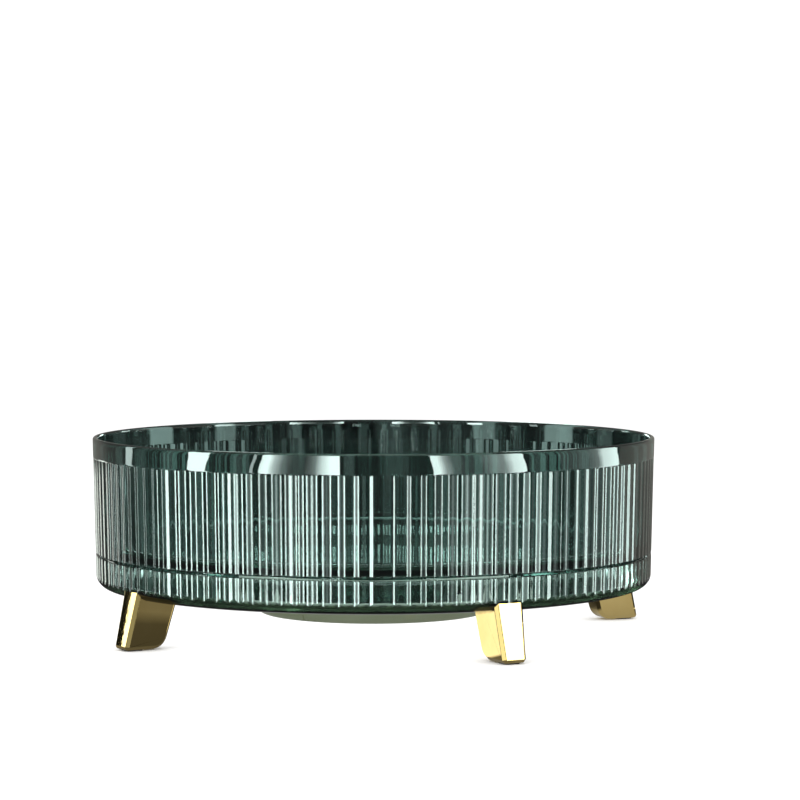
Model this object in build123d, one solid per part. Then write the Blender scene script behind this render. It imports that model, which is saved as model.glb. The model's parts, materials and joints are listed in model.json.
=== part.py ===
from build123d import *
import math
import os

os.makedirs("parts", exist_ok=True)

# Rotating makeup organizer: a round open tray that turns on a fixed base pan with four splayed legs.
# Millimetres, +Z up. The origin is on the axis of rotation, at the surface the feet stand on.

# ---------------------------------------------------------------- driving dimensions
RIM_R = 150.0          # outer radius of the plain band at the rim
HEIGHT = 105.0         # overall height
DRAFT = 1.25           # wall draft, degrees, narrowing downwards
BAND_H = 10.5          # height of the plain band under the rim
BAND_PROUD = 0.1       # plain surfaces stand this far outside the rib crests
WALL = 2.8             # wall thickness at the plain band
N_RIBS = 128           # ribs round the wall
RIB_DEPTH = 0.5        # crest to valley

GAP_LOW, GAP_HIGH = 42.6, 43.8     # the parting gap between base pan and tray
PAN_BOTTOM = 25.4
ROUND = 7.0                        # round between the pan's wall and its underside, where the ribs run out
PAN_FLOOR = 2.6
TRAY_UNDER, TRAY_FLOOR = 45.0, 47.6  # underside and top of the tray's floor
LIP_R0, LIP_R1, LIP_Z = 142.4, 144.6, 41.4  # ring under the tray that screens the gap

RACE_R = 62.0          # pitch radius of the balls
RACE_R0, RACE_R1 = 52.0, 72.0
BALL_D = 6.0
BALL_Z = 39.2
GROOVE_R = 3.05
N_BALLS = 16
RACE_H = 3.4
RACE_GAP = 1.0         # from the balls' centre plane to each race

SHAFT_D = 8.0
BUSH_BORE = 8.1
BUSH_OD = 12.0

HUB_R = 62.0           # round cover under the pan
HUB_BOTTOM = 10.8
HUB_WALL = 2.4

# two legs stand on one diagonal, the other two 84 degrees to each side of the front right one
LEG_ANGLES = {"rear_right": 39.0, "rear_left": 135.0, "front_left": 231.0, "front_right": 315.0}
LEG_TOP_Z = 28.4
LEG_TOP_R = 148.2      # outer face at the top
LEG_FOOT_R = 154.5     # outer face at the foot
LEG_TOP_W, LEG_FOOT_W = 16.2, 13.4    # along the rim
LEG_TOP_D, LEG_FOOT_D = 24.6, 22.7    # towards the centre
LEG_FOOT_Z = 0.6
PAD_H = 1.6
LEG_SCREW_R = (130.2, 138.6)


def wall_r(z):
    """Outer radius of the drafted wall at height z."""
    return RIM_R - math.tan(math.radians(DRAFT)) * (HEIGHT - z)


def crest_r(z):
    return wall_r(z) - BAND_PROUD


def ring(points):
    """Solid of revolution about Z from a closed polygon of (radius, height) points."""
    with BuildPart() as bp:
        with BuildSketch(Plane.XZ) as sk:
            with BuildLine():
                Polyline(*points, close=True)
            make_face()
        revolve(axis=Axis.Z)
    return bp.part


def tube(r_out, r_in, z0, z1, x=0.0, y=0.0):
    body = Cylinder(r_out, z1 - z0, align=(Align.CENTER, Align.CENTER, Align.MIN))
    if r_in > 0:
        body -= Cylinder(r_in, z1 - z0, align=(Align.CENTER, Align.CENTER, Align.MIN))
    return Pos(x, y, z0) * body


def rod(r, z0, z1, x=0.0, y=0.0):
    return tube(r, 0.0, z0, z1, x, y)


def polar(r, deg):
    return r * math.cos(math.radians(deg)), r * math.sin(math.radians(deg))


def rib_wire(z):
    """Closed outline of the ribbed wall at height z: a shallow convex arc for each rib and a concave one for each valley."""
    rc = crest_r(z)
    rm = rc - RIB_DEPTH / 2
    half = math.pi / N_RIBS
    edges = []
    for i in range(2 * N_RIBS):
        a0, am, a1 = (i - 0.5) * half, i * half, (i + 0.5) * half
        r = rc if i % 2 else rc - RIB_DEPTH
        edges.append(
            Edge.make_three_point_arc(
                Vector(rm * math.cos(a0), rm * math.sin(a0), z),
                Vector(r * math.cos(am), r * math.sin(am), z),
                Vector(rm * math.cos(a1), rm * math.sin(a1), z),
            )
        )
    return Wire(edges)


def ribbed(z0, z1):
    return Part() + Solid.make_loft([rib_wire(z0), rib_wire(z1)], True)


def write(shape, node):
    solids = shape.solids()
    out = solids[0] if len(solids) == 1 else Compound(children=list(solids))
    out.label = node
    export_step(out, f"parts/{node}.step")
    return out


parts = {}

# ---------------------------------------------------------------- tray
band_z = HEIGHT - BAND_H
band = ring([(0, band_z), (wall_r(band_z), band_z), (wall_r(HEIGHT), HEIGHT), (0, HEIGHT)])
tray = ribbed(GAP_HIGH, band_z) + band


def inner_r(z):
    return wall_r(z) - WALL


# inside of the tray, with a round between floor and wall
CORNER = 4.0
with BuildPart() as cavity:
    with BuildSketch(Plane.XZ):
        with BuildLine():
            c0 = (inner_r(TRAY_FLOOR + CORNER) - CORNER, TRAY_FLOOR)
            c1 = (inner_r(TRAY_FLOOR + CORNER), TRAY_FLOOR + CORNER)
            Line((0, TRAY_FLOOR), c0)
            mid = (
                c0[0] + CORNER * math.sin(math.radians(45)),
                c1[1] - CORNER * math.cos(math.radians(45)),
            )
            ThreePointArc(c0, mid, c1)
            Line(c1, (inner_r(HEIGHT + 1), HEIGHT + 1))
            Line((inner_r(HEIGHT + 1), HEIGHT + 1), (0, HEIGHT + 1))
            Line((0, HEIGHT + 1), (0, TRAY_FLOOR))
        make_face()
    revolve(axis=Axis.Z)
tray -= cavity.part
# hollow under the floor, inside the skirt
skirt_r = inner_r(GAP_HIGH)
tray -= rod(skirt_r, GAP_HIGH - 1, TRAY_UNDER)
rim_edges = [
    e
    for e in tray.edges().filter_by(GeomType.CIRCLE)
    if abs(e.center().Z - HEIGHT) < 1e-3 and abs(e.bounding_box().max.Z - HEIGHT) < 1e-3
]
tray = fillet(rim_edges, 1.15)
# ring under the floor that hangs inside the pan's wall and screens the gap
tray += tube(LIP_R1, LIP_R0, LIP_Z, TRAY_UNDER + 0.3)
# seat for the upper race and the boss for the spindle
UP_RACE_Z0 = BALL_Z + RACE_GAP
UP_RACE_Z1 = UP_RACE_Z0 + RACE_H
tray += tube(RACE_R1 + 2.0, RACE_R0 - 2.0, UP_RACE_Z1, TRAY_UNDER + 0.3)
SPINDLE_TOP = 41.0
tray += rod(17.0, SPINDLE_TOP, TRAY_UNDER + 0.3)
UP_SCREW_ANGLES = (45, 135, 225, 315)
RACE_SCREW_R = 55.6
for a in UP_SCREW_ANGLES:
    tray -= rod(1.25, UP_RACE_Z1 - 0.1, 46.6, *polar(RACE_SCREW_R, a))
SPINDLE_SCREW_R = 10.5
for a in (90, 210, 330):
    tray -= rod(1.25, SPINDLE_TOP - 0.1, 45.9, *polar(SPINDLE_SCREW_R, a))
parts["tray_bowl"] = tray

# ---------------------------------------------------------------- base pan
low_z = PAN_BOTTOM + ROUND
low_r = wall_r(low_z)


def pan_outline(gap):
    """Solid of the pan's outer form without ribs, grown by gap, up to well above the parting gap."""
    with BuildPart() as bp:
        with BuildSketch(Plane.XZ):
            with BuildLine():
                rr = ROUND + gap
                p0 = (low_r - ROUND, PAN_BOTTOM - gap)
                p1 = (low_r + gap, low_z)
                m = (low_r - ROUND + rr * math.sin(math.radians(45)), low_z - rr * math.cos(math.radians(45)))
                Line((0, PAN_BOTTOM - gap), p0)
                ThreePointArc(p0, m, p1)
                Line(p1, (low_r + gap + 1.0, 60))
                Line((low_r + gap + 1.0, 60), (0, 60))
                Line((0, 60), (0, PAN_BOTTOM - gap))
            make_face()
        revolve(axis=Axis.Z)
    return bp.part


pan = ribbed(PAN_BOTTOM, GAP_LOW) & pan_outline(0.0)
floor_z = PAN_BOTTOM + PAN_FLOOR
with BuildPart() as pan_in:
    with BuildSketch(Plane.XZ):
        with BuildLine():
            c0 = (inner_r(floor_z + CORNER) - CORNER, floor_z)
            c1 = (inner_r(floor_z + CORNER), floor_z + CORNER)
            Line((0, floor_z), c0)
            mid = (
                c0[0] + CORNER * math.sin(math.radians(45)),
                c1[1] - CORNER * math.cos(math.radians(45)),
            )
            ThreePointArc(c0, mid, c1)
            Line(c1, (inner_r(GAP_LOW + 1), GAP_LOW + 1))
            Line((inner_r(GAP_LOW + 1), GAP_LOW + 1), (0, GAP_LOW + 1))
            Line((0, GAP_LOW + 1), (0, floor_z))
        make_face()
    revolve(axis=Axis.Z)
pan -= pan_in.part
LOW_RACE_Z1 = BALL_Z - RACE_GAP
LOW_RACE_Z0 = LOW_RACE_Z1 - RACE_H
pan += tube(RACE_R1 + 2.0, RACE_R0 - 2.0, floor_z - 0.3, LOW_RACE_Z0)      # seat for the lower race
pan += rod(10.0, floor_z - 0.3, 35.5)                                        # housing of the bush
HUB_SCREW_R = 44.0
for a in (0, 90, 180, 270):
    x, y = polar(HUB_SCREW_R, a)
    pan += rod(4.0, floor_z - 0.3, 33.0, x, y)
pan -= rod(BUSH_OD / 2, PAN_BOTTOM - 1, 36.0)
for a in (0, 90, 180, 270):
    pan -= rod(1.5, PAN_BOTTOM - 1, 31.6, *polar(HUB_SCREW_R, a))
    pan -= rod(1.25, 30.4, LOW_RACE_Z0 + 0.1, *polar(RACE_SCREW_R, a))
for deg in LEG_ANGLES.values():
    for r in LEG_SCREW_R:
        pan -= rod(1.7, PAN_BOTTOM - 1, floor_z + 1, *polar(r, deg))
parts["base_pan"] = pan


# ---------------------------------------------------------------- ball race
def groove_ring():
    with BuildPart() as bp:
        with BuildSketch(Plane.XZ):
            with Locations((RACE_R, BALL_Z)):
                Circle(GROOVE_R)
        revolve(axis=Axis.Z)
    return bp.part


def race_screw(x, y, head_z, direction, length):
    """Countersunk screw M2.5: flat head face at head_z, shank along direction."""
    head = ring([(0, 0), (2.3, 0), (2.3, 0.25), (1.25, 1.3), (1.25, length), (0, length)])
    # cross recess in the head
    head -= Box(2.2, 0.55, 1.4) + Box(0.55, 2.2, 1.4)
    if direction < 0:
        head = Rot(180, 0, 0) * head
    return Pos(x, y, head_z) * head


def race_screw_hole(x, y, head_z, direction):
    hole = ring([(0, -0.5), (2.5, -0.5), (2.5, 0.3), (1.4, 1.4), (1.4, 6.0), (0, 6.0)])
    if direction < 0:
        hole = Rot(180, 0, 0) * hole
    return Pos(x, y, head_z) * hole


groove = groove_ring()
lower = tube(RACE_R1, RACE_R0, LOW_RACE_Z0, LOW_RACE_Z1) - groove
upper = tube(RACE_R1, RACE_R0, UP_RACE_Z0, UP_RACE_Z1) - groove
low_screws, up_screws = [], []
for a in (0, 90, 180, 270):
    x, y = polar(RACE_SCREW_R, a)
    lower -= race_screw_hole(x, y, LOW_RACE_Z1 - 0.05, -1)
    low_screws.append(race_screw(x, y, LOW_RACE_Z1 - 0.05, -1, 7.4))
for a in UP_SCREW_ANGLES:
    x, y = polar(RACE_SCREW_R, a)
    upper -= race_screw_hole(x, y, UP_RACE_Z0 + 0.05, 1)
    up_screws.append(race_screw(x, y, UP_RACE_Z0 + 0.05, 1, 6.2))
parts["lower_race"] = lower
parts["upper_race"] = upper
parts["lower_race_screws"] = Part() + low_screws
parts["upper_race_screws"] = Part() + up_screws

CAGE_T = 1.2
cage = tube(66.6, 57.4, BALL_Z - CAGE_T / 2, BALL_Z + CAGE_T / 2)
balls = []
for k in range(N_BALLS):
    x, y = polar(RACE_R, 360.0 / N_BALLS * (k + 0.5))
    cage -= rod(BALL_D / 2 + 0.1, BALL_Z - 2, BALL_Z + 2, x, y)
    balls.append(Pos(x, y, BALL_Z) * Sphere(BALL_D / 2))
parts["ball_cage"] = cage
parts["bearing_balls"] = Part() + balls

# ---------------------------------------------------------------- pivot
SPINDLE_FLANGE_Z = 38.5
CLIP_Z0, CLIP_Z1 = 21.7, 22.7
spindle = ring(
    [
        (0, 15.6),
        (3.4, 15.6),
        (4.0, 16.2),
        (4.0, CLIP_Z0),
        (3.2, CLIP_Z0),
        (3.2, CLIP_Z1),
        (4.0, CLIP_Z1),
        (4.0, SPINDLE_FLANGE_Z - 0.6),
        (4.6, SPINDLE_FLANGE_Z),
        (14.0, SPINDLE_FLANGE_Z),
        (14.0, SPINDLE_TOP),
        (0, SPINDLE_TOP),
    ]
)
spin_screws = []
for a in (90, 210, 330):
    x, y = polar(SPINDLE_SCREW_R, a)
    spindle -= rod(1.4, SPINDLE_FLANGE_Z - 0.5, SPINDLE_TOP + 0.5, x, y)
    s = ring([(0, -1.4), (2.1, -1.4), (2.5, -1.0), (2.5, 0), (1.25, 0), (1.25, 7.2), (0, 7.2)])
    s -= Pos(0, 0, -1.4) * (Box(2.4, 0.6, 1.3) + Box(0.6, 2.4, 1.3))
    spin_screws.append(Pos(x, y, SPINDLE_FLANGE_Z) * s)
parts["spindle"] = spindle
parts["spindle_screws"] = Part() + spin_screws

bush = ring(
    [
        (BUSH_BORE / 2, PAN_BOTTOM),
        (BUSH_OD / 2, PAN_BOTTOM),
        (BUSH_OD / 2, 35.5),
        (8.0, 35.5),
        (8.0, 36.4),
        (BUSH_BORE / 2 + 0.6, 36.4),
        (BUSH_BORE / 2, 35.8),
    ]
)
parts["pivot_bush"] = bush
# cone spring washer: its wide edge bears on the pan, its narrow edge near the retaining washer
parts["disc_spring"] = ring([(4.8, 24.0), (5.6, 24.0), (10.0, 24.6), (10.0, 25.4), (9.2, 25.4), (4.8, 24.8)])
parts["retaining_washer"] = tube(9.0, SHAFT_D / 2, CLIP_Z1, 23.8)
clip = tube(6.8, 3.2, CLIP_Z0, CLIP_Z1)
clip -= Pos(5.0, 0, (CLIP_Z0 + CLIP_Z1) / 2) * Box(8.0, 5.2, 3.0)
clip -= rod(1.2, CLIP_Z0 - 1, CLIP_Z1 + 1, -5.2, 2.4)
clip -= rod(1.2, CLIP_Z0 - 1, CLIP_Z1 + 1, -5.2, -2.4)
parts["retaining_clip"] = clip

# ---------------------------------------------------------------- cover under the pivot
hub = rod(HUB_R, HUB_BOTTOM, PAN_BOTTOM)
hub = fillet([e for e in hub.edges().filter_by(GeomType.CIRCLE) if e.center().Z < HUB_BOTTOM + 0.01], 2.2)
hub -= rod(HUB_R - HUB_WALL, HUB_BOTTOM + HUB_WALL, PAN_BOTTOM + 1)
for a in (0, 90, 180, 270):
    x, y = polar(HUB_SCREW_R, a)
    hub += rod(5.2, HUB_BOTTOM + HUB_WALL - 0.3, PAN_BOTTOM, x, y)
for a in (0, 90, 180, 270):
    x, y = polar(HUB_SCREW_R, a)
    hub -= rod(3.3, HUB_BOTTOM - 1, 16.8, x, y)
    hub -= rod(1.7, 16.0, PAN_BOTTOM + 1, x, y)
# ring rib that centres the cover's floor round the pivot
hub += tube(16.0, 14.2, HUB_BOTTOM + HUB_WALL - 0.3, 18.0)
parts["hub_cover"] = hub
hub_screws = []
for a in (0, 90, 180, 270):
    x, y = polar(HUB_SCREW_R, a)
    s = ring([(0, -2.0), (2.3, -2.0), (2.8, -1.4), (2.8, 0), (1.5, 0), (1.5, 14.4), (0, 14.4)])
    s -= Pos(0, 0, -2.0) * (Box(2.8, 0.7, 1.8) + Box(0.7, 2.8, 1.8))
    hub_screws.append(Pos(x, y, 16.8) * s)
parts["hub_cover_screws"] = Part() + hub_screws

# ---------------------------------------------------------------- legs
# the pan's outer form, slightly grown, which the legs' tops follow
env = pan_outline(0.02)


def leg_body():
    """One leg at azimuth 0: a tapered block splayed outwards, its upright edges and its foot rounded."""
    z0, z1 = LEG_FOOT_Z, LEG_TOP_Z + 4.0
    grow = (z1 - LEG_FOOT_Z) / (LEG_TOP_Z - LEG_FOOT_Z)
    top_r = LEG_FOOT_R + (LEG_TOP_R - LEG_FOOT_R) * grow
    top_w = LEG_FOOT_W + (LEG_TOP_W - LEG_FOOT_W) * grow
    top_d = LEG_FOOT_D + (LEG_TOP_D - LEG_FOOT_D) * grow

    def outline(r, w, d, z):
        pts = [
            Vector(r - d, -w / 2, z),
            Vector(r, -w / 2, z),
            Vector(r, w / 2, z),
            Vector(r - d, w / 2, z),
        ]
        return Wire.make_polygon(pts, close=True)

    block = Part() + Solid.make_loft(
        [outline(LEG_FOOT_R, LEG_FOOT_W, LEG_FOOT_D, z0), outline(top_r, top_w, top_d, z1)], True
    )
    upright = [e for e in block.edges() if abs((e @ 1 - e @ 0).Z) > 10]
    block = chamfer(upright, 1.7)
    foot = block.edges().filter_by(lambda e: abs((e @ 0).Z - z0) < 1e-4 and abs((e @ 1).Z - z0) < 1e-4)
    inner = [e for e in foot if e.center().X < LEG_FOOT_R - LEG_FOOT_D + 0.5]
    block = fillet(inner, 8.0)
    return block


proto = leg_body()
foot_face = proto.faces().sort_by(Axis.Z)[0]
rest_edges = [
    e
    for e in foot_face.edges()
    if e.center().X > LEG_FOOT_R - LEG_FOOT_D + 8.8
]
proto = fillet(rest_edges, 1.4)
PAD_X, PAD_W, PAD_D = LEG_FOOT_R - 7.0, 8.6, 9.0
pad_shape = Pos(PAD_X, 0, 0) * extrude(RectangleRounded(PAD_D, PAD_W, 2.0), PAD_H)
pad_seat = Pos(PAD_X, 0, 0) * extrude(RectangleRounded(PAD_D, PAD_W, 2.0), PAD_H)
proto = proto - pad_seat - env
INSERT_R, INSERT_Z = 2.3, 20.6
insert_list, screw_list = [], []
for r in LEG_SCREW_R:
    proto -= rod(INSERT_R, INSERT_Z, PAN_BOTTOM + 1, r, 0)
for name, deg in LEG_ANGLES.items():
    turn = Rot(0, 0, deg)
    parts[f"leg_{name}"] = turn * proto
    parts[f"foot_pad_{name}"] = turn * pad_shape
    for r in LEG_SCREW_R:
        insert_list.append(turn * tube(INSERT_R, 1.5, INSERT_Z + 0.4, PAN_BOTTOM - 0.1, r, 0))
        s = ring([(0, 2.0), (2.2, 2.0), (2.75, 1.3), (2.75, 0), (1.5, 0), (1.5, -6.9), (0, -6.9)])
        s -= Pos(0, 0, 2.0) * (Box(2.8, 0.7, 1.8) + Box(0.7, 2.8, 1.8))
        screw_list.append(turn * Pos(r, 0, floor_z) * s)
parts["leg_inserts"] = Part() + insert_list
parts["leg_screws"] = Part() + screw_list

for node, shape in parts.items():
    write(shape, node)
    bb = shape.bounding_box()
    print(f"{node}: {len(shape.solids())} solid(s), {shape.volume:.1f} mm3, z {bb.min.Z:.2f}..{bb.max.Z:.2f}")
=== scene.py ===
import json
import math

import bpy
import bmesh
from mathutils import Matrix, Vector


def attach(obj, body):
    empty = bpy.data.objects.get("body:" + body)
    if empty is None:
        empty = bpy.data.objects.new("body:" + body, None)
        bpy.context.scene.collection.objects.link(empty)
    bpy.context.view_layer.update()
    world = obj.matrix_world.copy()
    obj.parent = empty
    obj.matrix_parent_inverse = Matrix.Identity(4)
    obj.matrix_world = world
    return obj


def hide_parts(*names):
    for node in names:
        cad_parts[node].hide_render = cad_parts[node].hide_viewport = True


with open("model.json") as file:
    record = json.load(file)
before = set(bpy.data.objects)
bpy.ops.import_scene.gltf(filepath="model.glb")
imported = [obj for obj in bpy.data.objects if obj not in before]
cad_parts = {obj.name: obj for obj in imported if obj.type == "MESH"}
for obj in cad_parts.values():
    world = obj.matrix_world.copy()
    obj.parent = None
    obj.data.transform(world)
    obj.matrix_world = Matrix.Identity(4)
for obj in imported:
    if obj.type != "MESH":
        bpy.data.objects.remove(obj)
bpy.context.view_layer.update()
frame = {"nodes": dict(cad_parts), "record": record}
nodes = frame["nodes"]
scene = bpy.context.scene
MM = 0.001

# ------------------------------------------------------------------ dimensions, mm, as in the CAD model
RIM_R, HEIGHT, DRAFT = 149.998, 105.0, math.tan(math.radians(1.25))
BAND_Z = 94.5
N_RIBS, RIB_DEPTH, PROUD = 128, 0.5, 0.1
WALL = 2.8
GAP_LOW, GAP_HIGH = 42.6, 43.8
PAN_BOTTOM, PAN_FLOOR, ROUND = 25.4, 28.0, 7.0
TRAY_UNDER, TRAY_FLOOR = 45.0, 47.6


def wall_r(z):
    return RIM_R - DRAFT * (HEIGHT - z)


def inner_r(z):
    return wall_r(z) - WALL


# places of the columns within one rib
RIB_T = [k / 12 for k in range(12)]


def rib_height(t):
    """0 in the valley, 1 on the crest: a concave and a convex arc of the same radius."""
    d = abs(2 * t - 1)
    return 1 - 2 * d * d if d < 0.5 else 2 * (1 - d) ** 2


FINE_A = [(i + t) * 2 * math.pi / N_RIBS for i in range(N_RIBS) for t in RIB_T]
FINE_H = [rib_height(t) for i in range(N_RIBS) for t in RIB_T]
N_FINE = len(FINE_A)
N_COARSE = N_FINE // 4
COARSE_A = FINE_A[::4]


def arc(cx, cz, r, a0, a1, n, sharp=0):
    """Points of an arc in the (radius, height) plane, angles in degrees from +radius towards +z."""
    return [
        (cx + r * math.cos(math.radians(a0 + (a1 - a0) * k / n)), cz + r * math.sin(math.radians(a0 + (a1 - a0) * k / n)))
        for k in range(n + 1)
    ]


def revolve(name, rows, closed):
    """A closed shell about Z. rows are (radius, height, rib weight, fine) in mm, in order round the section, and a fine row
    may end with a radius that its ribs don't pass. A fine row has a vertex for each rib column, a coarse one a quarter of them.
    A radius of 0 is a pole."""
    verts, faces, index = [], [], []
    for r, z, w, fine, *cap in rows:
        if r < 1e-6:
            index.append([len(verts)])
            verts.append((0.0, 0.0, z * MM))
            continue
        start = len(verts)
        if fine:
            for a, h in zip(FINE_A, FINE_H):
                rr = r - w * RIB_DEPTH * (1 - h)
                if cap:
                    # the ribs run out into the round, with a narrow softened edge
                    d = (rr - cap[0]) / 0.06
                    rr = cap[0] if d > 1 else (rr if d < -1 else rr - 0.06 * (d + 1) ** 2 / 4)
                verts.append((rr * math.cos(a) * MM, rr * math.sin(a) * MM, z * MM))
            index.append(list(range(start, start + N_FINE)))
        else:
            for a in COARSE_A:
                verts.append((r * math.cos(a) * MM, r * math.sin(a) * MM, z * MM))
            index.append(list(range(start, start + N_COARSE)))
    pairs = list(zip(index, index[1:]))
    if closed:
        pairs.append((index[-1], index[0]))
    for low, high in pairs:
        n0, n1 = len(low), len(high)
        if n0 == 1 and n1 == 1:
            continue
        if n0 == 1:
            faces += [(low[0], high[(k + 1) % n1], high[k]) for k in range(n1)]
        elif n1 == 1:
            faces += [(low[k], low[(k + 1) % n0], high[0]) for k in range(n0)]
        elif n0 == n1:
            faces += [(low[k], low[(k + 1) % n0], high[(k + 1) % n0], high[k]) for k in range(n0)]
        elif n0 > n1:
            m = n0 // n1
            for j in range(n1):
                a, b = high[j], high[(j + 1) % n1]
                f = [low[(j * m + i) % n0] for i in range(m + 1)]
                faces += [(f[0], f[1], a), (f[1], f[2], a), (f[2], b, a), (f[2], f[3], b), (f[3], f[4], b)]
        else:
            m = n1 // n0
            for j in range(n0):
                a, b = low[j], low[(j + 1) % n0]
                f = [high[(j * m + i) % n1] for i in range(m + 1)]
                faces += [(a, f[1], f[0]), (a, f[2], f[1]), (a, b, f[2]), (b, f[3], f[2]), (b, f[4], f[3])]
    mesh = bpy.data.meshes.new(name)
    mesh.from_pydata(verts, [], faces)
    mesh.validate()
    bm = bmesh.new()
    bm.from_mesh(mesh)
    bmesh.ops.recalc_face_normals(bm, faces=bm.faces)
    for f in bm.faces:
        f.smooth = True
    for e in bm.edges:
        if len(e.link_faces) == 2 and e.calc_face_angle(0.0) > math.radians(38):
            e.smooth = False
    bm.to_mesh(mesh)
    bm.free()
    ob = bpy.data.objects.new(name, mesh)
    scene.collection.objects.link(ob)
    return ob


# ------------------------------------------------------------------ tray
F, C = True, False
tray_rows = []
# inside, from the middle of the floor outwards and up
tray_rows += [(0, TRAY_FLOOR, 0, C), (20, TRAY_FLOOR, 0, C), (60, TRAY_FLOOR, 0, C), (110, TRAY_FLOOR, 0, C)]
corner = 4.0
cr = inner_r(TRAY_FLOOR + corner) - corner
tray_rows += [(cr - 1.5, TRAY_FLOOR, 0, C)]
tray_rows += [(r, z, 0, C) for r, z in arc(cr, TRAY_FLOOR + corner, corner, -90, 0, 8)]
tray_rows += [(inner_r(z), z, 0, C) for z in (60, 78, 94, 102.5)]
# rounded lip of the rim
rr = 1.15
tray_rows += [(r, z, 0, C) for r, z in arc(inner_r(HEIGHT - rr) + rr, HEIGHT - rr, rr, 180, 90, 6)]
tray_rows += [(r, z, 0, C) for r, z in arc(wall_r(HEIGHT - rr) - rr, HEIGHT - rr, rr, 90, 0, 6)]
tray_rows += [(wall_r(z), z, 0, C) for z in (102.0, 99.0, 96.5)]
# lower edge of the plain band, then the rounded heads of the ribs
tray_rows += [
    (wall_r(95.2), 95.2, 0, F),
    (wall_r(94.66), 94.66, 0, F),
    (wall_r(94.55) - 0.03, 94.55, 0.02, F),
    (wall_r(94.5) - 0.09, 94.48, 0.12, F),
    (wall_r(94.4) - 0.10, 94.42, 0.36, F),
    (wall_r(94.3) - 0.10, 94.35, 0.62, F),
    (wall_r(94.2) - 0.10, 94.25, 0.85, F),
    (wall_r(94.1) - 0.10, 94.10, 0.97, F),
    (wall_r(93.8) - 0.10, 93.85, 1.0, F),
]
tray_rows += [(wall_r(z) - PROUD, z, 1.0, F) for z in (82.0, 69.0, 56.0, 46.0, 44.35)]
# lower edge at the parting gap
low = wall_r(GAP_HIGH) - PROUD
tray_rows += [
    (low - 0.03, 44.12, 1.0, F),
    (low - 0.10, 43.94, 1.0, F),
    (low - 0.22, 43.84, 0.98, F),
    (low - 0.42, 43.80, 0.9, F),
    (low - 1.30, 43.80, 0.15, F),
]
sk = inner_r(GAP_HIGH)
tray_rows += [(sk + 0.25, GAP_HIGH, 0, C), (sk + 0.06, GAP_HIGH + 0.06, 0, C), (sk, GAP_HIGH + 0.25, 0, C)]
tray_rows += [(sk, TRAY_UNDER - 0.25, 0, C), (sk - 0.25, TRAY_UNDER, 0, C)]
tray_rows += [(144.85, TRAY_UNDER, 0, C), (144.6, TRAY_UNDER - 0.25, 0, C)]
tray_rows += [(144.6, 41.75, 0, C), (144.5, 41.5, 0, C), (144.25, 41.4, 0, C), (142.75, 41.4, 0, C), (142.5, 41.5, 0, C), (142.4, 41.75, 0, C)]
tray_rows += [(142.4, TRAY_UNDER - 0.4, 0, C), (142.28, TRAY_UNDER - 0.12, 0, C), (142.0, TRAY_UNDER, 0, C)]
# seat of the upper race and the boss of the spindle
tray_rows += [(110, TRAY_UNDER, 0, C), (74.4, TRAY_UNDER, 0, C), (74.0, TRAY_UNDER - 0.4, 0, C), (74.0, 43.85, 0, C), (73.8, 43.65, 0, C)]
tray_rows += [(50.2, 43.65, 0, C), (50.0, 43.85, 0, C), (50.0, TRAY_UNDER - 0.4, 0, C), (49.6, TRAY_UNDER, 0, C)]
tray_rows += [(17.5, TRAY_UNDER, 0, C), (17.0, TRAY_UNDER - 0.5, 0, C), (17.0, 41.3, 0, C), (16.75, 41.05, 0, C), (8, 41.05, 0, C), (0, 41.05, 0, C)]
tray = revolve("tray_shell", tray_rows, closed=False)

# ------------------------------------------------------------------ base pan
low_z = PAN_BOTTOM + ROUND
low_r = wall_r(low_z)
rnd_r = low_r - ROUND


def round_at(z):
    """Radius of the round under the wall at height z."""
    d = low_z - z
    return rnd_r + math.sqrt(ROUND * ROUND - d * d) if d > 0 else low_r + (z - low_z) * DRAFT


pan_rows = [(6.02, PAN_BOTTOM + 0.02, 0, C), (40, PAN_BOTTOM + 0.02, 0, C), (90, PAN_BOTTOM + 0.02, 0, C), (130, PAN_BOTTOM + 0.02, 0, C)]
pan_rows += [(rnd_r - 1.5, PAN_BOTTOM + 0.02, 0, C)]
pan_rows += [(r, z, 0, C) for r, z in arc(rnd_r, low_z, ROUND - 0.02, -90, -34, 9)]
pan_rows += [
    (wall_r(z) - PROUD, z, 1.0, F, round_at(z) - 0.02)
    for z in (28.75, 29.0, 29.2, 29.4, 29.6, 29.8, 30.05, 30.35, 30.7, 31.1, 31.6, 32.3)
]
pan_rows += [(wall_r(z) - PROUD, z, 1.0, F) for z in (33.2, 35.0, 39.0, 42.05)]
low = wall_r(GAP_LOW) - PROUD
pan_rows += [
    (low - 0.03, 42.30, 1.0, F),
    (low - 0.10, 42.46, 1.0, F),
    (low - 0.22, 42.56, 0.98, F),
    (low - 0.42, 42.60, 0.9, F),
    (low - 1.30, 42.60, 0.15, F),
]
pk = inner_r(GAP_LOW)
pan_rows += [(pk + 0.25, GAP_LOW, 0, C), (pk + 0.06, GAP_LOW - 0.06, 0, C), (pk, GAP_LOW - 0.25, 0, C)]
pcr = inner_r(PAN_FLOOR + corner) - corner
pan_rows += [(r, z, 0, C) for r, z in arc(pcr, PAN_FLOOR + corner, corner, 0, -90, 8)]
pan_rows += [(110, PAN_FLOOR, 0, C), (74.5, PAN_FLOOR, 0, C), (74.0, PAN_FLOOR + 0.5, 0, C), (74.0, 34.55, 0, C), (73.8, 34.75, 0, C)]
pan_rows += [(50.2, 34.75, 0, C), (50.0, 34.55, 0, C), (50.0, PAN_FLOOR + 0.5, 0, C), (49.5, PAN_FLOOR, 0, C)]
pan_rows += [(10.5, PAN_FLOOR, 0, C), (10.0, PAN_FLOOR + 0.5, 0, C), (10.0, 35.25, 0, C), (9.8, 35.45, 0, C), (6.02, 35.45, 0, C)]
pan = revolve("pan_shell", pan_rows, closed=True)


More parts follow.
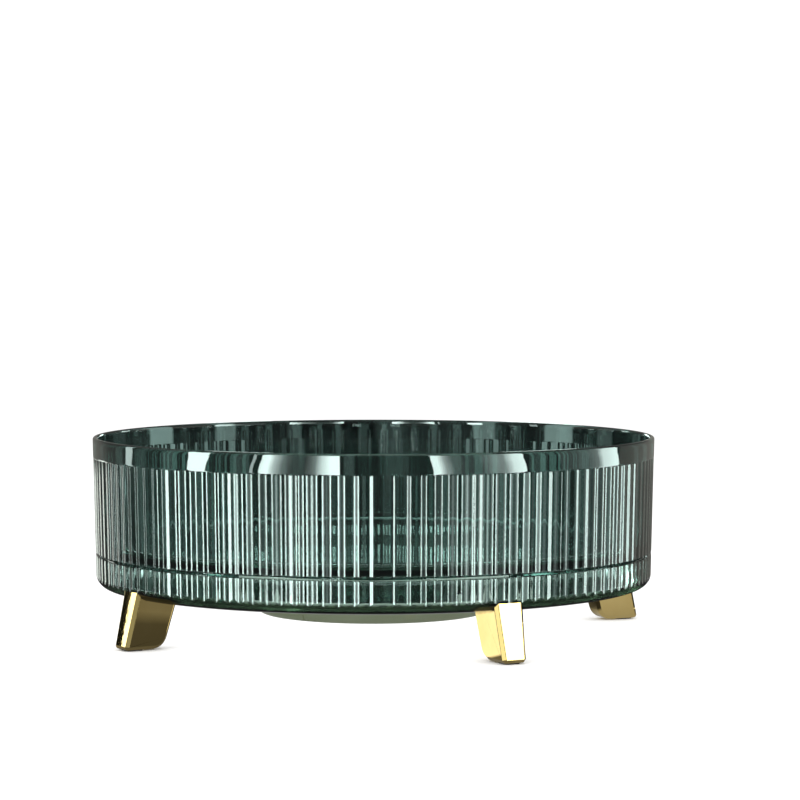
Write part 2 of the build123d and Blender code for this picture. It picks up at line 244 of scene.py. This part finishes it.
# ------------------------------------------------------------------ legs
LEG_ANGLES = {"rear_right": 39.0, "rear_left": 135.0, "front_left": 231.0, "front_right": 315.0}
FOOT_Z, LEG_Z = 0.6, 28.4
LEG_CUT, LEG_EDGE = 1.7, 0.42      # width of the flats on the upright edges, and the small rounds beside them


def leg_size(z):
    """Radius of the outer face, width along the rim and depth towards the centre at height z."""
    k = (z - FOOT_Z) / (LEG_Z - FOOT_Z)
    return 154.5 - 6.3 * k, 13.4 + 2.8 * k, 22.7 + 1.9 * k


def under_pan(r):
    """Height of the pan's underside above the leg."""
    if r <= rnd_r:
        return PAN_BOTTOM - 0.03
    d = min(r - rnd_r, ROUND + 0.02)
    return low_z - math.sqrt((ROUND + 0.03) ** 2 - d * d)


def round_corner(a, c, b, radius, n):
    """Points and outward normals of a round at corner c between the lines from a and to b, in the (x, z) plane."""
    u = (Vector(a) - Vector(c)).normalized()
    v = (Vector(b) - Vector(c)).normalized()
    half = math.acos(max(-1.0, min(1.0, u.dot(v)))) / 2
    centre = Vector(c) + (u + v).normalized() * (radius / math.sin(half))
    t0 = Vector(c) + u * (radius / math.tan(half)) - centre
    t1 = Vector(c) + v * (radius / math.tan(half)) - centre
    a0, a1 = math.atan2(t0.y, t0.x), math.atan2(t1.y, t1.x)
    while a1 < a0:
        a1 += 2 * math.pi
    out = []
    for k in range(n + 1):
        g = a0 + (a1 - a0) * k / n
        nv = Vector((math.cos(g), math.sin(g)))
        out.append((centre + nv * radius, nv))
    return out


def leg_mesh(name, deg):
    top = PAN_BOTTOM + 0.2
    r_f, _, d_f = leg_size(FOOT_Z)
    r_t, _, d_t = leg_size(top)
    inner_top, inner_foot = (r_t - d_t, top), (r_f - d_f, FOOT_Z)
    r_o, _, _ = leg_size(LEG_Z)
    outer_top, outer_foot = (r_o, LEG_Z), (r_f, FOOT_Z)
    n_in = Vector((-(inner_top[1] - inner_foot[1]), inner_top[0] - inner_foot[0])).normalized()
    n_out = Vector((outer_top[1] - outer_foot[1], -(outer_top[0] - outer_foot[0]))).normalized()
    r_in = round_corner(inner_top, inner_foot, outer_foot, 8.0, 14)
    r_out = round_corner(inner_foot, outer_foot, outer_top, 1.7, 6)
    stations = []
    p_end = r_in[0][0]
    for k in range(4):
        stations.append((Vector(inner_top).lerp(p_end, k / 4), n_in))
    stations += r_in
    stations += [(r_in[-1][0].lerp(r_out[0][0], k / 3), Vector((0, -1))) for k in (1, 2)]
    stations += r_out
    stations += [(r_out[-1][0].lerp(Vector(outer_top), k / 4), n_out) for k in (1, 2, 3, 4)]
    # section of the long edges: a flat between two small rounds
    e = LEG_EDGE
    a = e * math.tan(math.radians(22.5))
    cut = [(e - e * math.cos(math.radians(15 * j)), LEG_CUT + a - e * math.sin(math.radians(15 * j))) for j in range(4)]
    cut += [(y, x) for x, y in reversed(cut)]
    rows = []
    for p, nv in stations:
        row = []
        for side in (-1, 1):
            pts = []
            for inset, back in cut:
                q = p - nv * inset
                pts.append([q.x, side * (leg_size(q.y)[1] / 2 - back), q.y])
            row += pts[::-1] if side < 0 else pts
        rows.append(row)
    # the two ends of the outline follow the pan's underside
    for row, ref in ((rows[0], 0), (rows[-1], -1)):
        for v in row:
            low, high = 20.0, 31.5
            x0, z0 = v[0], v[2]
            slope = (inner_top[0] - inner_foot[0]) / (inner_top[1] - inner_foot[1]) if ref == 0 else (outer_top[0] - outer_foot[0]) / (outer_top[1] - outer_foot[1])
            for _ in range(40):
                mid = (low + high) / 2
                x = x0 + slope * (mid - z0)
                if mid < under_pan(math.hypot(x, v[1])):
                    low = mid
                else:
                    high = mid
            v[0], v[2] = x0 + slope * (low - z0), low
    verts = [tuple(v) for row in rows for v in row]
    n = len(rows[0])
    faces = []
    for i in range(len(rows) - 1):
        for j in range(n - 1):
            faces.append((i * n + j, i * n + j + 1, (i + 1) * n + j + 1, (i + 1) * n + j))
    # the top, in strips between the two side faces
    m = len(cut)
    last = (len(rows) - 1) * n
    x_in, x_out = rows[0][0][0], rows[-1][0][0]
    strips = []
    for k in range(1, 10):
        x = x_in + (x_out - x_in) * (1 - (1 - k / 10) ** 1.6)
        z_guess = PAN_BOTTOM
        for _ in range(6):
            z_guess = under_pan(math.hypot(x, leg_size(z_guess)[1] / 2))
        y = leg_size(z_guess)[1] / 2
        strip = []
        for t in range(7):
            yy = -y + 2 * y * t / 6
            strip.append(len(verts))
            verts.append((x, yy, under_pan(math.hypot(x, yy))))
        strips.append(strip)
    for s0, s1 in zip(strips, strips[1:]):
        for t in range(6):
            faces.append((s0[t], s0[t + 1], s1[t + 1], s1[t]))
    faces.append(tuple(range(0, n)) + tuple(reversed(strips[0])))
    faces.append(tuple(range(last, last + n)) + tuple(reversed(strips[-1])))
    # the two side faces
    for side in (0, n - 1):
        edge = [i * n + side for i in range(len(rows))]
        t = 0 if side == 0 else 6
        faces.append(tuple(edge) + tuple(s[t] for s in reversed(strips)))
    turn = Matrix.Rotation(math.radians(deg), 4, "Z")
    mesh = bpy.data.meshes.new(name)
    mesh.from_pydata([turn @ (Vector(v) * MM) for v in verts], [], faces)
    mesh.validate()
    bm = bmesh.new()
    bm.from_mesh(mesh)
    bmesh.ops.recalc_face_normals(bm, faces=bm.faces)
    bmesh.ops.triangulate(bm, faces=[f for f in bm.faces if len(f.verts) > 4], ngon_method="BEAUTY")
    for f in bm.faces:
        f.smooth = True
    # each flat and each small round keeps normals of its own along its long sides
    seams = {0, 3, 4, 7, 8, 11, 12, 15}
    for ed in bm.edges:
        a, b = sorted(v.index for v in ed.verts)
        along = b < len(rows) * n and b - a == n and a % n in seams
        if along or (len(ed.link_faces) == 2 and ed.calc_face_angle(0.0) > math.radians(32)):
            ed.smooth = False
    bm.to_mesh(mesh)
    bm.free()
    ob = bpy.data.objects.new(name, mesh)
    scene.collection.objects.link(ob)
    # keep the flats flat: weighted normals favour the large faces
    mod = ob.modifiers.new("weighted", "WEIGHTED_NORMAL")
    mod.keep_sharp = True
    mod.weight = 90
    return ob


leg_shells = {corner_name: leg_mesh(f"leg_shell_{corner_name}", deg) for corner_name, deg in LEG_ANGLES.items()}


# ------------------------------------------------------------------ balls of the race
BALL_R, BALL_Z, RACE_R, N_BALLS = 2.998, 39.2, 62.0, 16


def ball_mesh(name):
    bm = bmesh.new()
    for k in range(N_BALLS):
        a = 2 * math.pi * (k + 0.5) / N_BALLS
        place = Matrix.Translation(Vector((RACE_R * math.cos(a), RACE_R * math.sin(a), BALL_Z)) * MM)
        bmesh.ops.create_uvsphere(bm, u_segments=36, v_segments=18, radius=BALL_R * MM, matrix=place)
    for f in bm.faces:
        f.smooth = True
    mesh = bpy.data.meshes.new(name)
    bm.to_mesh(mesh)
    bm.free()
    ob = bpy.data.objects.new(name, mesh)
    scene.collection.objects.link(ob)
    return ob


balls = ball_mesh("ball_set")


# ------------------------------------------------------------------ materials
def new_material(name):
    m = bpy.data.materials.new(name)
    m.use_nodes = True
    nt = m.node_tree
    for n in list(nt.nodes):
        nt.nodes.remove(n)
    out = nt.nodes.new("ShaderNodeOutputMaterial")
    p = nt.nodes.new("ShaderNodeBsdfPrincipled")
    nt.links.new(p.outputs[0], out.inputs["Surface"])
    co = nt.nodes.new("ShaderNodeTexCoord").outputs["Object"]
    return m, nt, p, out, co


def noise(nt, co, scale, detail=3.0, rough=0.5, stretch=None):
    vec = co
    if stretch:
        mp = nt.nodes.new("ShaderNodeMapping")
        mp.inputs["Scale"].default_value = stretch
        nt.links.new(co, mp.inputs["Vector"])
        vec = mp.outputs[0]
    n = nt.nodes.new("ShaderNodeTexNoise")
    n.inputs["Scale"].default_value = scale
    n.inputs["Detail"].default_value = detail
    n.inputs["Roughness"].default_value = rough
    nt.links.new(vec, n.inputs["Vector"])
    return n.outputs["Fac"]


def remap(nt, value, a, b, c, d):
    n = nt.nodes.new("ShaderNodeMapRange")
    n.inputs["From Min"].default_value = a
    n.inputs["From Max"].default_value = b
    n.inputs["To Min"].default_value = c
    n.inputs["To Max"].default_value = d
    nt.links.new(value, n.inputs["Value"])
    return n.outputs["Result"]


def mix_colour(nt, fac, a, b):
    n = nt.nodes.new("ShaderNodeMix")
    n.data_type = "RGBA"
    n.inputs["A"].default_value = (*a, 1)
    n.inputs["B"].default_value = (*b, 1)
    nt.links.new(fac, n.inputs["Factor"])
    return n.outputs["Result"]


def bump(nt, height, strength, distance, normal=None):
    n = nt.nodes.new("ShaderNodeBump")
    n.inputs["Strength"].default_value = strength
    n.inputs["Distance"].default_value = distance
    nt.links.new(height, n.inputs["Height"])
    if normal is not None:
        nt.links.new(normal, n.inputs["Normal"])
    return n.outputs["Normal"]


def plastic_clear(name):
    """Clear glossy moulded plastic, tinted dark teal green, with faint flow marks and handling haze, and painted shade:
    a dark green base colour below about 30 mm height.
    """
    m, nt, p, out, co = new_material(name)
    flow = noise(nt, co, 9.0, 4.0, 0.55, (1, 1, 2.2))
    fine = noise(nt, co, 620.0, 2.0, 0.5)
    haze = noise(nt, co, 38.0, 6.0, 0.62)
    tint = mix_colour(nt, remap(nt, flow, 0.3, 0.7, 0, 1), (0.49, 0.68, 0.64), (0.56, 0.74, 0.70))
    # painted shade: from 31.1 mm down to 30 mm height (the pan's lower round) the base colour fades to a dark green
    # that stands in for the shade there
    sep = nt.nodes.new("ShaderNodeSeparateXYZ")
    nt.links.new(co, sep.inputs[0])
    painted_shade_mask = remap(nt, sep.outputs["Z"], 0.0300, 0.0311, 1.0, 0.0)
    painted_shade_mix = nt.nodes.new("ShaderNodeMix")
    painted_shade_mix.data_type = "RGBA"
    painted_shade_mix.inputs["B"].default_value = (0.055, 0.095, 0.055, 1)
    nt.links.new(painted_shade_mask, painted_shade_mix.inputs["Factor"])
    nt.links.new(tint, painted_shade_mix.inputs["A"])
    nt.links.new(painted_shade_mix.outputs["Result"], p.inputs["Base Color"])
    nt.links.new(remap(nt, haze, 0.35, 0.75, 0.004, 0.03), p.inputs["Roughness"])
    nt.links.new(bump(nt, fine, 0.02, 0.00003, bump(nt, flow, 0.015, 0.0005)), p.inputs["Normal"])
    p.inputs["IOR"].default_value = 1.49
    p.inputs["Transmission Weight"].default_value = 1.0
    p.inputs["Coat Weight"].default_value = 1.0
    p.inputs["Coat IOR"].default_value = 2.2
    p.inputs["Coat Roughness"].default_value = 0.008
    vol = nt.nodes.new("ShaderNodeVolumeAbsorption")
    vol.inputs["Color"].default_value = (0.18, 0.50, 0.40, 1)
    vol.inputs["Density"].default_value = 75.0
    nt.links.new(vol.outputs[0], out.inputs["Volume"])
    return m


def gold(name):
    """Polished pale gold plating with a faint ripple and fine polishing lines."""
    m, nt, p, out, co = new_material(name)
    cloud = noise(nt, co, 55.0, 4.0, 0.55)
    lines = noise(nt, co, 240.0, 3.0, 0.6, (1.0, 1.0, 0.06))
    nt.links.new(mix_colour(nt, remap(nt, cloud, 0.3, 0.7, 0, 1), (0.79, 0.59, 0.215), (0.87, 0.67, 0.27)), p.inputs["Base Color"])
    nt.links.new(remap(nt, lines, 0.3, 0.7, 0.012, 0.032), p.inputs["Roughness"])
    nt.links.new(bump(nt, lines, 0.03, 0.0002, bump(nt, cloud, 0.025, 0.0012)), p.inputs["Normal"])
    p.inputs["Metallic"].default_value = 1.0
    return m


def plastic_solid(name, a, b, r0, r1, scale=60.0, coat=0.0):
    m, nt, p, out, co = new_material(name)
    cloud = noise(nt, co, scale, 4.0, 0.55)
    grain = noise(nt, co, 1400.0, 2.0, 0.5)
    nt.links.new(mix_colour(nt, remap(nt, cloud, 0.3, 0.7, 0, 1), a, b), p.inputs["Base Color"])
    nt.links.new(remap(nt, cloud, 0.3, 0.7, r0, r1), p.inputs["Roughness"])
    nt.links.new(bump(nt, grain, 0.12, 0.00015), p.inputs["Normal"])
    p.inputs["IOR"].default_value = 1.49
    p.inputs["Coat Weight"].default_value = coat
    p.inputs["Coat Roughness"].default_value = 0.08
    return m


def metal(name, a, b, r0, r1, stretch=(1, 1, 1), scale=300.0):
    m, nt, p, out, co = new_material(name)
    lines = noise(nt, co, scale, 3.0, 0.6, stretch)
    spots = noise(nt, co, 90.0, 4.0, 0.6)
    nt.links.new(mix_colour(nt, remap(nt, spots, 0.35, 0.65, 0, 1), a, b), p.inputs["Base Color"])
    nt.links.new(remap(nt, lines, 0.3, 0.7, r0, r1), p.inputs["Roughness"])
    nt.links.new(bump(nt, lines, 0.08, 0.0002), p.inputs["Normal"])
    p.inputs["Metallic"].default_value = 1.0
    return m


M_CLEAR = plastic_clear("smoke_green_plastic")
M_HUB = plastic_solid("grey_green_plastic", (0.100, 0.120, 0.072), (0.118, 0.141, 0.086), 0.26, 0.38, 40.0, 0.25)
M_NATURAL = plastic_solid("natural_plastic", (0.74, 0.72, 0.66), (0.80, 0.78, 0.73), 0.34, 0.46, 80.0)
M_STEEL = metal("steel", (0.56, 0.57, 0.59), (0.64, 0.64, 0.65), 0.16, 0.30)
M_INSERT = metal("brass_insert", (0.70, 0.50, 0.22), (0.78, 0.58, 0.28), 0.25, 0.40)
M_GOLD = gold("polished_gold")
M_RUBBER = plastic_solid("foot_rubber", (0.035, 0.035, 0.036), (0.055, 0.055, 0.056), 0.62, 0.78, 120.0)

BY_SLOT = {
    "smoke_green_plastic": M_CLEAR,
    "grey_green_plastic": M_HUB,
    "natural_plastic": M_NATURAL,
    "steel": M_STEEL,
    "brass_insert": M_INSERT,
    "polished_gold": M_GOLD,
    "foot_rubber": M_RUBBER,
}
for entry in frame["record"]["subparts"]:
    ob = nodes[entry["node"]]
    ob.data.materials.clear()
    ob.data.materials.append(BY_SLOT[entry["material_slot"]])

for ob, node, body in ((tray, "tray_bowl", "tray"), (pan, "base_pan", "base")):
    ob.data.materials.append(M_CLEAR)
    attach(ob, body)
    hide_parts(node)
    # light reaches the floor through the clear plastic
    ob.visible_shadow = False
    ob.visible_diffuse = False

for node, ob in nodes.items():
    if not node.startswith(("leg_", "foot_pad")):
        ob.visible_shadow = False
        ob.visible_diffuse = False

balls.data.materials.append(M_STEEL)
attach(balls, "cage")
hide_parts("bearing_balls")
balls.visible_shadow = False
balls.visible_diffuse = False

for corner_name, ob in leg_shells.items():
    ob.data.materials.append(M_GOLD)
    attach(ob, "base")
    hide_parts(f"leg_{corner_name}")

# ------------------------------------------------------------------ floor and studio
def stage_material(name, colour, rough):
    m, nt, p, out, co = new_material(name)
    n = noise(nt, co, 3.0, 4.0, 0.5)
    c0 = tuple(c * 0.985 for c in colour)
    nt.links.new(mix_colour(nt, n, c0, colour), p.inputs["Base Color"])
    p.inputs["Roughness"].default_value = rough
    p.inputs["Specular IOR Level"].default_value = 0.0
    return m


bpy.ops.mesh.primitive_plane_add(size=14.0, location=(0, 0, 0))
floor = bpy.context.object
floor.name = "floor"
floor.data.materials.append(stage_material("pale_floor", (0.90, 0.90, 0.90), 0.6))

world = bpy.data.worlds.new("studio")
scene.world = world
world.use_nodes = True
bg = world.node_tree.nodes["Background"]
bg.inputs["Color"].default_value = (1, 1, 1, 1)
bg.inputs["Strength"].default_value = 1.15


CAM_AZ, CAM_DIST, CAM_Z = 18.0, 1.635, 0.2058
FOCAL_PX = 3055.5


def emitter(name, verts, faces, level, tint, seen_in, on_legs=None):
    """Stage mesh that glows by its level at each vertex and shows only in reflections (glossy) or only through the plastic (transmission).
    With on_legs True it shows on the legs only and with False on all but the legs; then light from behind passes through it."""
    mesh = bpy.data.meshes.new(name)
    mesh.from_pydata(verts, [], faces)
    att = mesh.attributes.new("level", "FLOAT", "POINT")
    for i, v in enumerate(level):
        att.data[i].value = v
    ob = bpy.data.objects.new(name, mesh)
    scene.collection.objects.link(ob)
    m = bpy.data.materials.new(name)
    m.use_nodes = True
    nt = m.node_tree
    for nd in list(nt.nodes):
        nt.nodes.remove(nd)
    out = nt.nodes.new("ShaderNodeOutputMaterial")
    em = nt.nodes.new("ShaderNodeEmission")
    em.inputs["Color"].default_value = (*tint, 1)
    at = nt.nodes.new("ShaderNodeAttribute")
    at.attribute_name = "level"
    nt.links.new(at.outputs["Fac"], em.inputs["Strength"])
    if on_legs is None:
        nt.links.new(em.outputs[0], out.inputs["Surface"])
    else:
        add = nt.nodes.new("ShaderNodeAddShader")
        nt.links.new(em.outputs[0], add.inputs[0])
        nt.links.new(nt.nodes.new("ShaderNodeBsdfTransparent").outputs[0], add.inputs[1])
        nt.links.new(add.outputs[0], out.inputs["Surface"])
        group = bpy.data.collections.new(name + "_receivers")
        for shell in leg_shells.values():
            group.objects.link(shell)
        if not on_legs:
            for item in group.collection_objects:
                item.light_linking.link_state = "EXCLUDE"
        ob.light_linking.receiver_collection = group
    mesh.materials.append(m)
    ob.visible_camera = False
    ob.visible_diffuse = False
    ob.visible_shadow = False
    ob.visible_volume_scatter = False
    ob.visible_glossy = seen_in == "glossy"
    ob.visible_transmission = seen_in == "transmission"


def studio_ring(name, radius, z0, z_top, z1, profile, seen_in, tint, on_legs=None, slant=0.0, lean=None):
    """An upright ring of panels round the object. profile gives the brightness at each azimuth, in degrees from the camera's side.
    It shows only in reflections (glossy) or only through the plastic (transmission). slant turns the panels by that many degrees
    for each metre above z = 0.033. lean gives for an azimuth two heights and the turn that the panels make between them."""
    turns = sorted({round(-180.0 + k, 3) for k in range(360)} | {round(x, 3) for x, _ in profile if -180 <= x < 180})
    n = len(turns)
    value = line(profile)
    verts, faces, level = [], [], []
    m = 8 if lean else 4
    for k, deg in enumerate(turns):
        low, high, turn = lean(deg) if lean else (z0, z_top, 0.0)
        steps = [z0] + ([low + (high - low) * i / 4 for i in range(4)] if lean else []) + [z_top, z_top + 0.01, z1]
        for z in steps:
            u = min(max((z - low) / (high - low), 0.0), 1.0)
            a = math.radians(CAM_AZ + deg + slant * (z - 0.033) + turn * u**1.7)
            verts.append((radius * math.sin(a), -radius * math.cos(a), z))
        level += [value(deg)] * (m - 2) + [0.03] * 2
        for j in range(m - 1):
            faces.append((m * k + j, m * k + j + 1, (m * k + j + m + 1) % (m * n), (m * k + j + m) % (m * n)))
    emitter(name, verts, faces, level, tint, seen_in, on_legs)


def line(points):
    """Linear interpolation through (azimuth, value) points, going round at +-180 degrees."""
    pts = sorted(points)
    pts = [(pts[-1][0] - 360, pts[-1][1])] + pts + [(pts[0][0] + 360, pts[0][1])]

    def at(deg):
        for (x0, y0), (x1, y1) in zip(pts, pts[1:]):
            if x0 <= deg <= x1:
                return y1 if x1 == x0 else y0 + (y1 - y0) * (deg - x0) / (x1 - x0)
        return pts[-1][1]

    return at


GLOSS_R = 0.30


def hit(point, normal):
    """Azimuth, from the camera's side, and height on the reflected ring that the camera sees at a point with this outward normal.
    Both are in metres with x to the camera's right and y towards it."""
    q, nrm = Vector(point), Vector(normal).normalized()
    d = (q - Vector((0.0, CAM_DIST, CAM_Z))).normalized()
    r = d - 2 * d.dot(nrm) * nrm
    qh, rh = Vector((q.x, q.y)), Vector((r.x, r.y)).normalized()
    t = -qh.dot(rh) + math.sqrt(qh.dot(rh) ** 2 + GLOSS_R**2 - qh.dot(qh))
    h = qh + rh * t
    return math.degrees(math.atan2(h.x, h.y)), q.z + r.z * t / math.hypot(r.x, r.y)


def band_angle(px):
    """Azimuth, from the camera's side, of the rim's point in this column of the 800 px view."""
    high = math.acos(0.15 / CAM_DIST)
    low = -high
    for _ in range(40):
        mid = (low + high) / 2
        if 373.7 + FOCAL_PX * 0.15 * math.sin(mid) / (CAM_DIST - 0.15 * math.cos(mid)) < px:
            low = mid
        else:
            high = mid
    return mid


def seen_azimuth(px):
    """What hit gives for this column of the plain rim band, without the height."""
    th = band_angle(px)
    nrm = (math.sin(th), math.cos(th), 0.0)
    return hit((0.15 * nrm[0], 0.15 * nrm[1], 0.1), nrm)[0]


def leg_azimuth(leg_deg, along):
    """The same for the outer face of the leg at this azimuth from the camera's side, this far (mm) to the right of its middle."""
    a = math.radians(leg_deg)
    lean = math.atan(6.3 / 27.8)
    out = Vector((math.sin(a), math.cos(a), 0.0))
    side = Vector((math.cos(a), -math.sin(a), 0.0))
    return hit(out * 0.1514 + side * along * MM + Vector((0, 0, 0.014)), out * math.cos(lean) + Vector((0, 0, math.sin(lean))))[0]


OFF = 0.04
PANELS = [
    (124, OFF), (125, 8), (130, 8), (131, OFF),
    (185.5, OFF), (186.5, 24), (203, 24), (204, OFF),
    (247.5, OFF), (248.5, 9), (250.5, 9), (251.5, OFF), (256.5, OFF), (257.5, 22), (265, 26), (271, 12), (280, 3), (290, 0.9), (303, 0.8), (314, 4), (321, 16), (330, 26), (339, 26), (340, OFF),
    (434, OFF), (435, 22), (441, 22), (448, 7), (456, 1.2), (470, 0.7), (483, 0.8), (488, 2), (508, 5), (517, 18), (528, 22), (529, OFF),
    (562, OFF), (564, 0.8), (590, 1.2), (601, 3), (606, 13), (620, 15), (621, OFF),
]
GAIN = 0.24                # the coat reflects about four times as much as plain plastic
points = [(seen_azimuth(px), v if v == OFF else v * GAIN) for px, v in PANELS]
points += [(-168, OFF), (-167.5, 3), (-160, 3), (-159.5, OFF)]
points += [(118, OFF), (150, OFF), (155, OFF), (155.5, 3.4), (164, 4), (164.5, OFF)]

# in the plain band the ends of the panels lean towards the middle: columns of the band and how far their tops are to the right
LEAN = line([(-180, 0), (100, 0), (125, 1), (131, 2.5), (186, 3), (204, 8), (247, 8), (257, 7.4), (300, 4), (339, 0), (400, -5), (434, -6.2), (528, -7.6), (562, -6), (620, -4.3), (650, 0), (655, 0)])
table = []
for i in range(94, 654, 4):
    th = band_angle(i)
    low, high = (hit((wall_r(z) * math.sin(th) * MM, wall_r(z) * math.cos(th) * MM, z * MM), (math.sin(th), math.cos(th), -DRAFT)) for z in (94.5, 104.5))
    table.append((seen_azimuth(i), low[1], high[1], seen_azimuth(i + LEAN(i)) - seen_azimuth(i)))
lean_low, lean_high, lean_turn = (line([(row[0], row[k]) for row in table]) for k in (1, 2, 3))
studio_ring(
    "studio_reflected_panels", GLOSS_R, 0.002, 0.15, 0.42, points, "glossy", (0.80, 1.0, 0.95), False,
    lean=lambda deg: (lean_low(deg), lean_high(deg), lean_turn(deg)),
)
# a warm grey behind the outermost parts of the wall
points = [(-180, 0.0), (-152, 0.0), (-148, 0.14), (-118, 0.12), (-108, 0.05), (-95, 0.03), (-94, 0.0), (91.6, 0.0), (92.2, 0.13), (112, 0.15), (146, 0.17), (151, 0.0)]
studio_ring("studio_reflected_warm", GLOSS_R - 0.001, 0.002, 0.15, 0.42, points, "glossy", (1.0, 0.95, 0.84), False)
# a low panel that the outermost ribs on the left reflect, below what the plain band sees
points = [(-180, 0.0), (-125, 0.0), (-123, 1.5), (-114, 1.5), (-113.5, 0.0), (179, 0.0)]
studio_ring("studio_reflected_low", GLOSS_R - 0.002, 0.002, 0.066, 0.077, points, "glossy", (0.92, 1.0, 0.93), False)

# the legs reflect panels of their own: white in front, a dark and a pale strip on the left leg, dull gold at the sides
edge = leg_azimuth(-57, 0.0)
points = [(-180, 0.3), (-170, 0.06), (-145, 0.06), (-135, 0.5), (-125, 2.4), (-106, 2.6), (-100, 0.5), (-96, 0.01), (edge - 0.04, 0.01), (edge + 0.04, 3.4), (-91, 3.0), (-89.5, 0.3)]
points += [(-60, 0.08), (-49, 0.36), (-33, 0.36), (-26, 0.05), (-11, 0.03), (-10.2, 1.35), (-6.8, 1.35), (-6, 0.03), (37.5, 0.03), (39, 4.6), (46, 4.6), (48, 0.05), (62, 0.05), (66, 0.38), (76, 0.38), (80, 0.05), (110, 0.02), (160, 0.02), (170, 0.8)]
studio_ring("studio_leg_panels", GLOSS_R + 0.001, 0.002, 0.15, 0.42, points, "glossy", (0.95, 1.0, 0.98), True, -41.0)
studio_ring("studio_reflected_dark", GLOSS_R + 0.002, 0.001, 0.15, 0.43, [(-180, 0.0), (0, 0.0)], "glossy", (1, 1, 1))

# what shows through the plastic: grey, with bright and dark upright bands of uneven width
SEEN_R = 0.21
points = []
deg, k = -180.0, 0
while deg < 179.0:
    u = (math.sin(12.9898 * (k + 1)) * 43758.5453) % 1.0
    v = (math.sin(78.233 * (k + 1)) * 12543.123) % 1.0
    w = 4.0 + 9.0 * u if k % 2 == 0 else 2.0 + 4.0 * u
    w = min(w, 180.0 - deg)
    far = 0.27 if abs(deg) >= 166 else 0.55 if abs(deg) >= 150 else (0.25 if 123 < abs(deg) < 139 else 1.0)
    level = (0.004 + 0.03 * v * v) if k % 2 == 0 else (0.22 + 0.5 * v) * far
    points += [(deg + 0.2, level), (deg + w - 0.3, level)]
    deg += w
    k += 1
studio_ring("studio_seen_through", SEEN_R, 0.001, 0.16, 0.40, points, "transmission", (0.95, 1.0, 1.0))


def flag(name, radius, z, through, value):
    """Dark disc above or below the object that only reflections see, and what shows through the plastic if through is set."""
    bpy.ops.mesh.primitive_circle_add(vertices=64, radius=radius, fill_type="NGON", location=(0, 0, z))
    ob = bpy.context.object
    ob.name = name
    m, nt, p, out, co = new_material(name)
    p.inputs["Base Color"].default_value = (0.0, 0.0, 0.0, 1)
    p.inputs["Emission Color"].default_value = (1, 1, 1, 1)
    p.inputs["Emission Strength"].default_value = value
    p.inputs["Specular IOR Level"].default_value = 0.0
    ob.data.materials.append(m)
    ob.visible_camera = False
    ob.visible_diffuse = False
    ob.visible_shadow = False
    ob.visible_transmission = through
    ob.visible_volume_scatter = False


flag("studio_overhead_flag", 0.34, 0.42, True, 0.03)


def floor_flag(name, z, value, on_legs):
    """What downward reflections see. value gives the brightness at a radius and an azimuth from the camera's side."""
    radii = [0.0, 0.045, 0.055, 0.07, 0.09, 0.105, 0.111, 0.116, 0.122, 0.128, 0.134, 0.14, 0.146, 0.152, 0.17, 0.22, 0.30]
    n = 180
    verts, level, faces = [], [], []
    for r in radii:
        for k in range(n):
            deg = -180 + 360 * k / n
            a = math.radians(CAM_AZ + deg)
            verts.append((r * math.sin(a), -r * math.cos(a), z))
            level.append(value(r, deg))
    for i in range(len(radii) - 1):
        for k in range(n):
            faces.append((i * n + k, i * n + (k + 1) % n, (i + 1) * n + (k + 1) % n, (i + 1) * n + k))
    emitter(name, verts, faces, level, (1, 1, 1), "glossy", on_legs)


lit = line([(-60, 0.1), (-50, 1.5), (26, 1.5), (34, 0.12), (150, 0.1), (-150, 0.1)])
around = line([(-62, 0.25), (-52, 0.07), (-28, 0.08), (-14, 0.2), (20, 0.16), (60, 0.4), (66, 0.5), (95, 0.46), (112, 0.36), (120, 0.1), (150, 0.1), (165, 0.3), (-165, 0.3), (-110, 0.4)])


def below_legs(r, deg):
    if 0.05 < r < (0.13 if 0 < deg < 40 else 0.11):
        return lit(deg)
    if r < 0.128 and 85 < deg < 150:
        return 0.03
    return around(deg) if r > 0.05 else 0.12


floor_flag("studio_floor_flag_legs", 0.0005, below_legs, True)
floor_flag("studio_floor_flag", 0.0004, lambda r, deg: 0.3 if r < 0.12 else 0.02, False)
floor_flag("studio_floor_dark", 0.0003, lambda r, deg: 0.0, None)


def area(name, loc, target, size_x, size_y, power, camera=False):
    data = bpy.data.lights.new(name, "AREA")
    data.shape = "RECTANGLE"
    data.size, data.size_y, data.energy = size_x, size_y, power
    ob = bpy.data.objects.new(name, data)
    scene.collection.objects.link(ob)
    ob.location = loc
    ob.rotation_euler = (Vector(target) - Vector(loc)).to_track_quat("-Z", "Y").to_euler()
    ob.visible_camera = camera
    return ob


area("key", (-0.9, -1.1, 1.3), (0, 0, 0.05), 0.8, 0.8, 6.0)
area("fill", (1.2, -0.7, 1.0), (0, 0, 0.05), 0.7, 0.9, 3.0)
area("top", (0.0, 0.35, 1.5), (0, 0, 0.0), 1.0, 0.6, 4.0)

# ------------------------------------------------------------------ camera
az = math.radians(CAM_AZ)
toward = Vector((math.sin(az), -math.cos(az), 0.0))
cam_data = bpy.data.cameras.new("camera")
cam_data.sensor_width = 36.0
cam_data.lens = FOCAL_PX / 800.0 * 36.0
cam_data.clip_start, cam_data.clip_end = 0.05, 50.0
cam = bpy.data.objects.new("camera", cam_data)
scene.collection.objects.link(cam)
cam.location = toward * CAM_DIST + Vector((0, 0, CAM_Z))
# aim so that the axis falls at x = 373.7 and the horizon at y = 247 of 800
pitch = math.atan((400.0 - 247.0) / FOCAL_PX)
yaw = math.atan((400.0 - 373.7) / FOCAL_PX)
forward = -toward
right = forward.cross(Vector((0, 0, 1)))
look = (forward * math.cos(yaw) + right * math.sin(yaw)) * math.cos(pitch) - Vector((0, 0, 1)) * math.sin(pitch)
cam.rotation_euler = look.to_track_quat("-Z", "Y").to_euler()
scene.camera = cam

scene.view_settings.view_transform = "Standard"
scene.view_settings.look = "None"
scene.cycles.max_bounces = 24
scene.cycles.transmission_bounces = 20
scene.cycles.glossy_bounces = 8
scene.cycles.transparent_max_bounces = 16
scene.cycles.use_denoising = True
